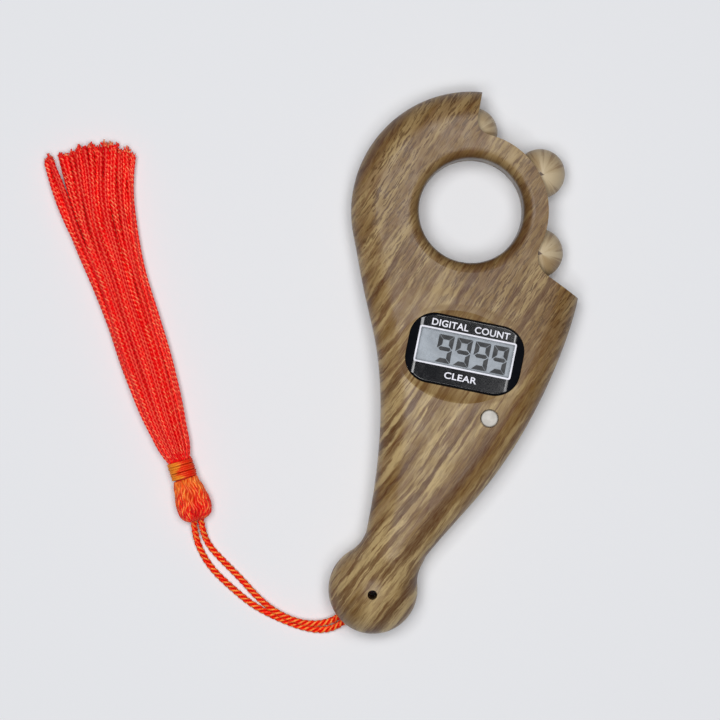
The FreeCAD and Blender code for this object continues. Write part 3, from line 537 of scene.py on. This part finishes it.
def thread(name, deep, body, light, specks, warm=NEVER_WARM, glint_share=0.51):
    """Shiny rayon thread: painted shade between its plies, painted highlight specks where the twist comes up.

    The warm value blends in a painted highlight colour from one distance along the thread to another,
    in millimetres.
    The glint share is the noise above which a crest has a highlight speck, so a lower one gives more specks."""
    r = Recipe(name)
    shade = r.attribute("shade")
    along = r.attribute("along")
    crest = r.attribute("crest")
    position = r.position()
    fibres = r.noise(r.stretch(position, (7.0, 7.0, 7.0)), detail=3)
    patchy = r.noise(r.vector(r.times(along, 0.22), r.times(shade, 60.0), 0.0), detail=3)
    tone = r.sum(r.times(shade, 0.6), r.times(patchy, 0.5))
    colour = r.mix(r.between(tone, 0.2, 0.72), deep, body)
    # Painted highlight: a warm colour from one distance along the thread to another.
    warm_highlight_share = r.times(r.between(along, warm[0], warm[1]), r.between(patchy, 0.36, 0.6, 0.15, 0.85))
    colour = r.mix(warm_highlight_share, colour, warm[2])
    # Painted shade in the valleys between plies and lobes.
    colour = r.mix(r.between(crest, -0.3, -1.0, 0.0, 0.6), colour, shaded(deep, 0.45))
    # Painted highlights: light specks on the crests, where the twist comes up.
    beat = r.noise(r.vector(r.times(along, 1.1), r.times(shade, 90.0), 0.0), detail=2)
    painted_glints = r.times(r.between(crest, 0.35, 0.9), r.between(beat, glint_share, glint_share + 0.09))
    painted_glints = r.times(painted_glints, r.between(fibres, 0.40, 0.55, 0.35, 1.0))
    painted_glints = r.times(painted_glints, r.between(shade, 0.2, 0.6, 0.3, 1.0))
    colour = r.mix(r.times(painted_glints, specks), colour, light)
    dull = {"Base Color": colour, "Roughness": 0.5, "Specular IOR Level": 0.2, "Normal": r.bump(fibres, 0.05)}
    diffuse = r.make("BsdfPrincipled", dull)
    shine = r.make("BsdfGlossy", {"Color": light, "Roughness": 0.34, "Normal": r.bump(fibres, 0.03)})
    mixed = r.make("MixShader", {0: 0.05, 1: diffuse.outputs[0], 2: shine.outputs[0]})
    r.make("OutputMaterial", {"Surface": mixed.outputs[0]})
    return r.material


def paint(piece, material):
    """Gives a piece one material in place of any other."""
    piece.data.materials.clear()
    piece.data.materials.append(material)


# ---- Cord ----
# Lengths are in millimetres. The points lie on the middle of each strand, and are measured from the bead
# wheel's axis and from the table. A strand's middle is at FLAT_Z where it lies on the table, and at LEANING_Z
# where it leans on the other strand.
FLAT_Z = 0.8
LEANING_Z = 2.0
STRAND_POINTS = {
    "cord_strand_a": (
        (-7.00, -91.49, 5.11), (-9.21, -95.04, 2.18), (-13.2, -97.8, 1.0), (-18.4, -98.0, FLAT_Z),
        (-24.0, -97.0, FLAT_Z), (-29.8, -95.4, FLAT_Z), (-35.4, -92.4, FLAT_Z), (-40.4, -89.3, FLAT_Z),
        (-43.9, -85.6, FLAT_Z), (-45.9, -81.8, 2.0), (-46.78, -78.20, 4.0)),
    "cord_strand_b": (
        (-8.34, -90.65, 5.11), (-10.55, -94.20, 2.18), (-14.4, -96.4, 2.2), (-19.0, -97.0, LEANING_Z),
        (-24.4, -95.9, LEANING_Z), (-29.2, -93.4, 1.5), (-33.6, -90.1, FLAT_Z), (-38.2, -87.1, FLAT_Z),
        (-42.0, -84.4, FLAT_Z), (-44.2, -81.3, 2.1), (-45.41, -77.42, 4.0)),
}
PLY_SHADES = (0.6, 0.95, 0.45)
PLY_R = 0.37
PLY_RING_R = 0.375
PLY_LAY = 4.2


def spline_line(name, points):
    """The smooth line of a NURBS spline through the cord's points."""
    curve = bpy.data.curves.new(name + "_line", "CURVE")
    curve.dimensions = "3D"
    curve.resolution_u = 32
    spline = curve.splines.new("NURBS")
    spline.points.add(len(points) - 1)
    for point, where in zip(spline.points, points):
        point.co = (*place(*where), 1)
    spline.order_u = 3
    spline.use_endpoint_u = True
    line = bpy.data.objects.new(name + "_line", curve)
    scene.collection.objects.link(line)
    bpy.context.view_layer.update()
    mesh = bpy.data.meshes.new_from_object(line)
    path = np.array([vertex.co for vertex in mesh.vertices], float)
    bpy.data.objects.remove(line)
    bpy.data.meshes.remove(mesh)
    return evenly(path, 0.2 * MM)


def laid_strand(name, points, phase):
    """Three plies laid round the strand's line, each one of twisted yarn."""
    path = spline_line(name, points)
    across, up = frames_along(path)
    along = distances(path)
    threads = Threads()
    for ply, shade in enumerate(PLY_SHADES):
        angle = phase + 2 * math.pi * (ply / len(PLY_SHADES) - along / (PLY_LAY * MM))
        ply_path = path + PLY_RING_R * MM * (np.cos(angle)[:, None] * across + np.sin(angle)[:, None] * up)
        threads.add(ply_path, PLY_R * MM, sides=12, lobes=4, depth=0.09, lay=2.1 * MM, shade=shade, core=path)
    return threads.piece(name), path


strand_a, line_a = laid_strand("strand_a", STRAND_POINTS["cord_strand_a"], 0.4)
strand_b, line_b = laid_strand("strand_b", STRAND_POINTS["cord_strand_b"], 1.9)

# ---- Tassel ----
# Lengths are in millimetres. Profiles give a radius at each distance from the head's gathered end.
HEAD_START = np.array(place(-45.3, -79.2, 4.0))
HEAD_NECK = np.array(place(-52.45, -66.65, 4.0))
HEAD_AXIS = (HEAD_NECK - HEAD_START) / np.linalg.norm(HEAD_NECK - HEAD_START)
HEAD_SIDE = np.array((HEAD_AXIS[1], -HEAD_AXIS[0], 0.0))
UP = np.array((0.0, 0.0, 1.0))
HEAD_PROFILE = ((0.3, 1.0), (0.5, 1.9), (1.0, 2.85), (2.2, 3.7),
                (4.2, 3.9), (6.2, 3.6), (8.2, 3.15), (9.9, 2.75))
WRAP_PROFILE = ((9.9, 2.8), (10.8, 2.9), (12.2, 2.9), (13.6, 2.9), (14.4, 2.8))
CORE_END = 14.2
HEAD_YARNS = 30
WRAP_TURNS = 8
WRAP_THREAD_R = 0.28


def about_axis(distance, radius, angle):
    """Points about the tassel's axis, from millimetres along it and away from it."""
    distance, radius, angle = np.broadcast_arrays(distance, radius, angle)
    sideways = HEAD_SIDE * (np.cos(angle) * radius)[:, None]
    upward = UP * (np.sin(angle) * radius)[:, None]
    return HEAD_START + (HEAD_AXIS * distance[:, None] + sideways + upward) * MM


def circle(points):
    """Angles spaced evenly round a circle."""
    return np.linspace(0, 2 * math.pi, points + 1)[:-1]


def core_piece(name, rings):
    """A closed surface through rings of points, which fills what shows between the threads."""
    mesh = bpy.data.meshes.new(name)
    points = np.concatenate(rings)
    index = np.arange(len(points)).reshape(len(rings), len(rings[0]))
    mesh.from_pydata(points.tolist(), [], tube_faces(index))
    mesh.shade_smooth()
    mesh.update()
    return link(name, mesh)


def make_head():
    """Yarns doubled over the head from its gathered end to the wrapping."""
    stations = [d for d, _ in HEAD_PROFILE]
    radii = [r for _, r in HEAD_PROFILE]
    wanted = np.linspace(stations[0], stations[-1], 56)
    outline = smooth_through(stations, radii, wanted)
    threads = Threads()
    for yarn in range(HEAD_YARNS):
        base_angle = 2 * math.pi * yarn / HEAD_YARNS
        group = 1.6 * math.sin(2 * base_angle) + 1.1 * math.sin(5 * base_angle + 1)
        wave = 0.085 * np.sin(wanted * 1.5 + group + chance.uniform(-0.5, 0.5))
        yarn_r = np.clip(math.pi * outline / HEAD_YARNS * 1.15, 0.15, 0.42)
        lifted = chance.uniform(-0.16, 0.0) + 0.05 * np.sin(wanted * 2.1 + chance.uniform(0, 6.3))
        path = about_axis(wanted, outline - yarn_r + lifted, base_angle + wave + chance.uniform(-0.02, 0.02))
        threads.add(path, yarn_r * MM, sides=12, lobes=3, depth=0.10, lay=7 * MM,
                    shade=chance.uniform(0.1, 1.0), phase=chance.uniform(0, 6.3))
    core_stations = np.linspace(0.6, CORE_END, 24)
    filled = smooth_through(stations + [CORE_END], radii + [2.7], core_stations) - 0.5
    filled = np.maximum(filled, 0.4)
    rings = [about_axis(distance, radius, circle(32)) for distance, radius in zip(core_stations, filled)]
    return threads.piece("tassel_head_yarns"), core_piece("tassel_head_core", rings)


def make_wrap():
    """One thread wound tightly round the neck."""
    stations = [d for d, _ in WRAP_PROFILE]
    radii = [r for _, r in WRAP_PROFILE]
    turn = np.linspace(0, WRAP_TURNS, WRAP_TURNS * 48)
    first, last = stations[0] + WRAP_THREAD_R, stations[-1] - WRAP_THREAD_R
    distance = first + (last - first) * turn / WRAP_TURNS
    distance += 0.06 * np.sin(turn * 2.3) + 0.05 * np.sin(turn * 2 * math.pi)
    radius = smooth_through(stations, radii, distance) - WRAP_THREAD_R + 0.05 * np.sin(turn * 3.7)
    # Painted highlight: the wound thread turns yellow on one side of the wrap, through its shade value.
    wrap_highlight = np.clip(2.4 * np.cos(2 * math.pi * turn - 2.6) - 1.3 + 0.5 * np.sin(turn * 7.3), 0, 1)
    threads = Threads()
    threads.add(about_axis(distance, radius, 2 * math.pi * turn), WRAP_THREAD_R * MM, sides=10, lobes=3,
                depth=0.12, lay=1.5 * MM, shade=wrap_highlight)
    return threads.piece("tassel_wrap_turns")


# Each section is the middle's x and y, half width, half height, and the middle's height above the table.
SKIRT_SECTIONS = (
    (-51.95, -67.51, 2.1, 2.1, 4.0), (-52.55, -66.47, 2.7, 2.7, 4.0), (-56.6, -59.8, 4.4, 3.2, 3.6),
    (-62.5, -49.3, 5.6, 3.3, 3.4), (-68.4, -38.9, 5.8, 3.2, 3.3), (-74.1, -28.3, 6.2, 3.0, 3.1),
    (-79.6, -17.7, 7.5, 2.8, 2.9), (-85.3, -1.8, 9.9, 2.4, 2.5),
)
SKIRT_MIDDLES = np.array([[*place(x, y, z)] for x, y, _, _, z in SKIRT_SECTIONS])
SKIRT_HALVES = [(width, height) for _, _, width, height, _ in SKIRT_SECTIONS]
SKIRT_STATIONS = distances(SKIRT_MIDDLES) / MM
SKIRT_LENGTH = SKIRT_STATIONS[-1]
SKIRT_YARNS = 96
YARN_R = 0.47
YARN_POINTS = 230
# The outermost yarns on one side stand apart from the others towards their ends. The side goes from -1 to 1
# across the skirt, and the shifts are shares of its half width.
GAP_SIDE = -0.78
GAP_LENGTH = 40
SIDE_SPREAD = 0.16
MAIN_SHIFT = 0.035
STRAY_SHIFT = -0.1
FRAY_FIBRES = 8
# The core's size, as shares of the skirt's.
CORE_WIDTH = 0.62
CORE_HEIGHT = 0.42


def skirt_room(wanted):
    """The skirt's middle, the direction across it, its half width and its half height at some distances."""
    centre = smooth_through(SKIRT_STATIONS, SKIRT_MIDDLES, wanted)
    halves = smooth_through(SKIRT_STATIONS, SKIRT_HALVES, wanted)
    along = np.gradient(centre, axis=0)
    along[:, 2] = 0
    along /= np.linalg.norm(along, axis=1)[:, None]
    across = np.stack([along[:, 1], -along[:, 0], np.zeros(len(along))], axis=1)
    return centre, across, halves[:, 0], halves[:, 1]


def fray(ends, path, shade):
    """Fine loose fibres at the end of a yarn."""
    tip = path[-1] - path[-8]
    tip /= np.linalg.norm(tip)
    for _ in range(FRAY_FIBRES):
        back = path[-1] - tip * chance.uniform(0.6, 1.4) * MM
        aim = tip + chance.normal(0, 0.15, 3) * np.array((1, 1, 0.6))
        long = chance.uniform(0.8, 1.5)
        steps = np.linspace(0, long, 7)[:, None] * MM
        fibre = back + aim * steps + chance.normal(0, 0.25, 3) * (steps / (long * MM)) ** 2 * MM
        fibre[:, 2] = np.maximum(fibre[:, 2], 0.1 * MM)
        ends.add(fibre, chance.uniform(0.12, 0.2) * MM, sides=5, shade=shade, round_ends=False)


def make_skirt():
    """Long twisted yarns that spread from the wrapping, with frayed ends of uneven length."""
    threads, ends = Threads(), Threads()
    golden = math.pi * (3 - math.sqrt(5))
    for yarn in range(SKIRT_YARNS):
        spread = min(1.04 * math.sqrt((yarn + 0.5) / SKIRT_YARNS), 1.0)
        turn = yarn * golden
        side, rise = spread * math.cos(turn), spread * math.sin(turn)
        bunch = 0.6 + 0.5 * math.sin(side * 11 + 1) + 0.3 * math.sin(side * 23)
        short = (3.2 if side > 0 else 1.8) * side ** 2 + bunch + chance.uniform(0.0, 0.7)
        wanted = np.linspace(0, SKIRT_LENGTH - short, YARN_POINTS)
        centre, across, half_width, half_height = skirt_room(wanted)
        radius = YARN_R * np.clip(0.56 + wanted / 45, 0.56, 1.0) * chance.uniform(0.9, 1.1)
        sway = np.clip(wanted / SKIRT_LENGTH, 0, 1) ** 0.8
        drift = side + sway * (0.05 * np.sin(wanted / 9 + chance.uniform(0, 6.3))
                               + 0.03 * np.sin(wanted / 3.7 + chance.uniform(0, 6.3)))
        opened = np.clip((wanted - SKIRT_LENGTH + GAP_LENGTH) / GAP_LENGTH, 0, 1)
        drift = drift + SIDE_SPREAD * min(side, 0) * opened ** 1.5
        drift = drift + (MAIN_SHIFT * opened * (1 - side) if side > GAP_SIDE else STRAY_SHIFT * opened)
        lift = rise + sway * 0.08 * np.sin(wanted / 7 + chance.uniform(0, 6.3))
        path = centre + across * ((half_width - radius) * drift * MM)[:, None]
        path = path + UP * ((half_height - radius) * lift * MM)[:, None]
        path[:, 2] = np.maximum(path[:, 2], (radius + 0.05) * MM)
        shade = chance.uniform(0.0, 1.0)
        threads.add(path, radius * MM, sides=12, lobes=3, depth=0.15, lay=-3.3 * MM, shade=shade,
                    phase=chance.uniform(0, 6.3))
        fray(ends, path, shade)
    centre, across, half_width, half_height = skirt_room(np.linspace(0, SKIRT_LENGTH - 6, 30))
    sideways, upward = np.cos(circle(24))[:, None], np.sin(circle(24))[:, None]
    rings = []
    for point, aside, width, height in zip(centre, across, half_width, half_height):
        ellipse = sideways * aside * width * CORE_WIDTH + upward * UP * height * CORE_HEIGHT
        rings.append(point + ellipse * MM)
    return (threads.piece("tassel_skirt_yarns"), ends.piece("tassel_skirt_ends"),
            core_piece("tassel_skirt_core", rings))


head_yarns, head_core = make_head()
wrap_turns = make_wrap()
skirt_yarns, skirt_ends, skirt_core = make_skirt()

for piece in (strand_a, strand_b, head_yarns, head_core, wrap_turns, skirt_yarns, skirt_ends, skirt_core):
    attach(piece, "counter_case")
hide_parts("cord_strand_a")
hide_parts("cord_strand_b")
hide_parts("tassel_head")
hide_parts("tassel_wrap")
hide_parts("tassel_skirt")

RED_DEEP = rgb(238, 0, 18)
RED = rgb(255, 4, 14)
# A painted highlight: the head's red turns to orange between these distances from its gathered end.
ORANGE_HIGHLIGHT = (3.5, 9.5, rgb(255, 132, 36))
cord_red = thread("cord_red", rgb(214, 4, 4), rgb(255, 22, 6), rgb(255, 200, 80), 0.85, glint_share=0.36)
tassel_thread = thread("tassel_thread", RED_DEEP, RED, rgb(255, 180, 120), 1.0, glint_share=0.47)
head_thread = thread("tassel_head_thread", RED_DEEP, RED, rgb(255, 190, 90), 0.9, ORANGE_HIGHLIGHT, 0.44)
# The wrap thread's orange body colour shows where the painted highlight on its one side is.
wrap_thread = thread("tassel_wrap_thread", rgb(244, 32, 6), rgb(255, 150, 40), rgb(255, 196, 80), 0.5)
# The cores are a darker red: painted shade for the shaded threads inside the tassel.
core_shade_red = moulded("thread_core_shade", rgb(190, 8, 6), 0.8)
thread_finishes = (
    (strand_a, cord_red, "cord_red"),
    (strand_b, cord_red, "cord_red"),
    (head_yarns, head_thread, "tassel_thread"),
    (wrap_turns, wrap_thread, "tassel_wrap_thread"),
    (skirt_yarns, tassel_thread, "tassel_thread"),
    (skirt_ends, tassel_thread, "tassel_thread"),
    (head_core, core_shade_red, "tassel_thread"),
    (skirt_core, core_shade_red, "tassel_thread"),
)
for piece, material, slot in thread_finishes:
    paint(piece, material)

# ---- Display ----
# Lengths are in millimetres, and places are from the bead wheel's axis.
WINDOW_CENTRE = (4.8, -30.75)
WINDOW_SIZE = (21.6, 8.1)
WINDOW_CORNER = 0.5
LINE_WIDTH = 0.36
DIGIT_WIDTH = 3.4
DIGIT_HEIGHT = 6.1
DIGIT_STEP = 4.08
SEGMENT = 0.98
MIDDLE_SEGMENT = 0.84
SLANT = 0.9
MITRE = 0.08
FIRST_DIGIT = (-1.42, -33.98)
DIGITS = 4


def digit_segments(x, y, lit):
    """The outlines of a digit's lit segments, a to g, mitred where they meet."""
    w, h, half = DIGIT_WIDTH, DIGIT_HEIGHT, DIGIT_HEIGHT / 2
    t, g, e = SEGMENT, MIDDLE_SEGMENT / 2, MITRE
    shapes = {
        "a": ((e, h), (t + e, h - t), (w - t - e, h - t), (w - e, h)),
        "b": ((w, h - e), (w - t, h - t - e), (w - t, half + SLANT * t), (w - 0.05, half + 0.06)),
        "c": ((w - 0.05, half - 0.06), (w - t, half - SLANT * t), (w - t, t + e), (w, e)),
        "d": ((e, 0), (w - e, 0), (w - t - e, t), (t + e, t)),
        "e": ((0, e), (t, t + e), (t, half - SLANT * t), (0, half)),
        "f": ((0, half), (t, half + SLANT * t), (t, h - t - e), (0, h - e)),
        "g": ((0.3, half), (0.3 + g, half - g), (w - 0.3 - g, half - g), (w - 0.3, half),
              (w - 0.3 - g, half + g), (0.3 + g, half + g)),
    }
    return [[(x + px, y + py) for px, py in shapes[key]] for key in lit]


def lettering(name, text, centre, width, height, z):
    """Printed capital letters that fill the given width and height."""
    curve = bpy.data.curves.new(name, "FONT")
    curve.body = text
    curve.size = 1
    curve.offset = 0.018
    curve.space_character = 1.06
    words = bpy.data.objects.new(name + "_words", curve)
    scene.collection.objects.link(words)
    bpy.context.view_layer.update()
    mesh = bpy.data.meshes.new_from_object(words)
    bpy.data.objects.remove(words)
    points = np.array([vertex.co for vertex in mesh.vertices], float)
    low, high = points.min(axis=0), points.max(axis=0)
    for vertex, (x, y, _) in zip(mesh.vertices, points):
        vertex.co = place(centre[0] + width * ((x - low[0]) / (high[0] - low[0]) - 0.5),
                          centre[1] + height * ((y - low[1]) / (high[1] - low[1]) - 0.5), z)
    mesh.materials.clear()
    mesh.update()
    return link(name, mesh)


bezel_top, lens_top, cell_top = top("display_bezel"), top("display_lens"), top("lcd_cell")
outer = rounded_outline(*WINDOW_SIZE, WINDOW_CORNER)
inner = rounded_outline(WINDOW_SIZE[0] - 2 * LINE_WIDTH, WINDOW_SIZE[1] - 2 * LINE_WIDTH, 0.25)
window_line = ring_piece("window_line", WINDOW_CENTRE, outer, inner, lens_top - 0.02, bezel_top + 0.02)
segments = []
for digit in range(DIGITS):
    segments += digit_segments(FIRST_DIGIT[0] + DIGIT_STEP * digit, FIRST_DIGIT[1], "abcdfg")
digits = plates_piece("display_digits", segments, cell_top + 0.28, cell_top + 0.3)
upper_words = lettering("upper_words", "DIGITAL  COUNT", (5.05, -25.5), 17.3, 1.5, bezel_top + 0.01)
lower_words = lettering("lower_words", "CLEAR", (4.9, -36.5), 7.2, 1.45, bezel_top + 0.01)

white_print = moulded("white_print", rgb(232, 232, 242), 0.4, bump_mm=0.004)
digit_ink = moulded("digit_ink", rgb(52, 52, 54), 0.6, bump_mm=0.002)
display_finishes = (
    (window_line, white_print, "bezel_gloss"),
    (upper_words, white_print, "bezel_gloss"),
    (lower_words, white_print, "bezel_gloss"),
    (digits, digit_ink, "lcd_glass"),
)
for piece, material, slot in display_finishes:
    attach(piece, "counter_case")
    paint(piece, material)

# ---- CAD pieces ----
BEADS = 6
BEAD_RING_R = 17.5
case_film = wood_film("wood_film_front", (0, 0))
back_film = wood_film("wood_film_back", (31, 17))
black_gloss = glossy("bezel_gloss", rgb(14, 15, 19))
finishes = {
    "front_shell": case_film,
    "rear_shell": back_film,
    "battery_door": back_film,
    "display_bezel": black_gloss,
    "display_lens": clear_window("clear_window"),
    "lcd_cell": moulded("lcd_glass", rgb(172, 177, 184), 0.5, bump_mm=0.001),
    "lcd_reflector": moulded("reflector_film", rgb(190, 194, 196), 0.35),
    "zebra_strips": moulded("zebra_rubber", rgb(40, 40, 44), 0.7),
    "main_board": moulded("circuit_board", rgb(20, 84, 44), 0.4),
    "board_components": moulded("component_black", rgb(32, 32, 34), 0.5),
    "controller_blob": moulded("resin_black", rgb(12, 12, 13), 0.25),
    "reset_button": moulded("button_cream", rgb(190, 185, 176), 0.4),
    "switch_plunger": moulded("switch_stem", rgb(60, 58, 56), 0.5),
    "reset_switch": moulded("switch_case", rgb(48, 48, 52), 0.5),
    "battery_cell": brushed("battery_steel", rgb(200, 200, 204), 0.25),
    "battery_contact_negative": brushed("contact_metal", rgb(196, 190, 176), 0.3),
    "battery_contact_positive": brushed("contact_metal_positive", rgb(196, 190, 176), 0.3),
    "bead_carrier": moulded("carrier_plastic", rgb(58, 44, 32), 0.5),
    "bead_pins": brushed("steel_pin", rgb(180, 180, 184), 0.3),
    "click_leaf": brushed("leaf_metal", rgb(206, 196, 170), 0.3),
    "count_contact": brushed("contact_gold", rgb(212, 176, 104), 0.3),
    "shell_screws": brushed("screw_steel", rgb(168, 168, 172), 0.35),
    "cord_knot": cord_red,
}
for bead in range(1, BEADS + 1):
    name = "bead_" + str(bead)
    low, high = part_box(name)
    direction = Vector(((low.x + high.x) / 2 - WHEEL.x, (low.y + high.y) / 2 - WHEEL.y, 0)).normalized()
    bead_centre = Vector((WHEEL.x, WHEEL.y, (low.z + high.z) / 2)) + direction * BEAD_RING_R * MM
    finishes[name] = bead_film("bead_film_" + str(bead), bead_centre)
for name, material in finishes.items():
    paint(nodes[name], material)


# ---- Stage ----
def flat_square(name, size, z):
    """A square sheet, in metres."""
    half = size / 2
    corners = [(-half, -half, z), (half, -half, z), (half, half, z), (-half, half, z)]
    mesh = bpy.data.meshes.new(name)
    mesh.from_pydata(corners, [], [(0, 1, 2, 3)])
    return link(name, mesh)


floor = flat_square("floor", 4.0, -0.0001)
paper = Recipe("floor_paper")
paint(floor, paper.finish(BaseColor=rgb(236, 237, 240), Roughness=0.9, SpecularIORLevel=0.1))


# The lights' tilt from straight above in degrees, and their distance and size in metres.
LIGHT_TILT = 11
LIGHT_DISTANCE = 1.1
LIGHT_SIZE = 0.27


def softbox(name, direction, power):
    """A square light that looks at the counter, from a direction in degrees round it."""
    data = bpy.data.lights.new(name, "AREA")
    data.shape = "SQUARE"
    data.size = LIGHT_SIZE
    data.energy = power
    light = bpy.data.objects.new(name, data)
    target = place(*VIEW_CENTRE, 10)
    tilt, turn = math.radians(LIGHT_TILT), math.radians(direction)
    away = Vector((math.sin(tilt) * math.cos(turn), math.sin(tilt) * math.sin(turn), math.cos(tilt)))
    light.location = target + away * LIGHT_DISTANCE
    light.rotation_euler = away.to_track_quat("Z", "Y").to_euler()
    scene.collection.objects.link(light)


softbox("light_left", 150, 3.6)
softbox("light_right", -30, 2.35)
softbox("light_upper", 60, 2.6)
softbox("light_lower", 240, 2.6)

world = bpy.data.worlds.new("world")
world.use_nodes = True
background = world.node_tree.nodes["Background"]
background.inputs["Color"].default_value = rgb(120, 124, 134)
background.inputs["Strength"].default_value = 0.22
scene.world = world
scene.view_settings.view_transform = "Standard"
scene.view_settings.look = "None"

bpy.context.view_layer.update()
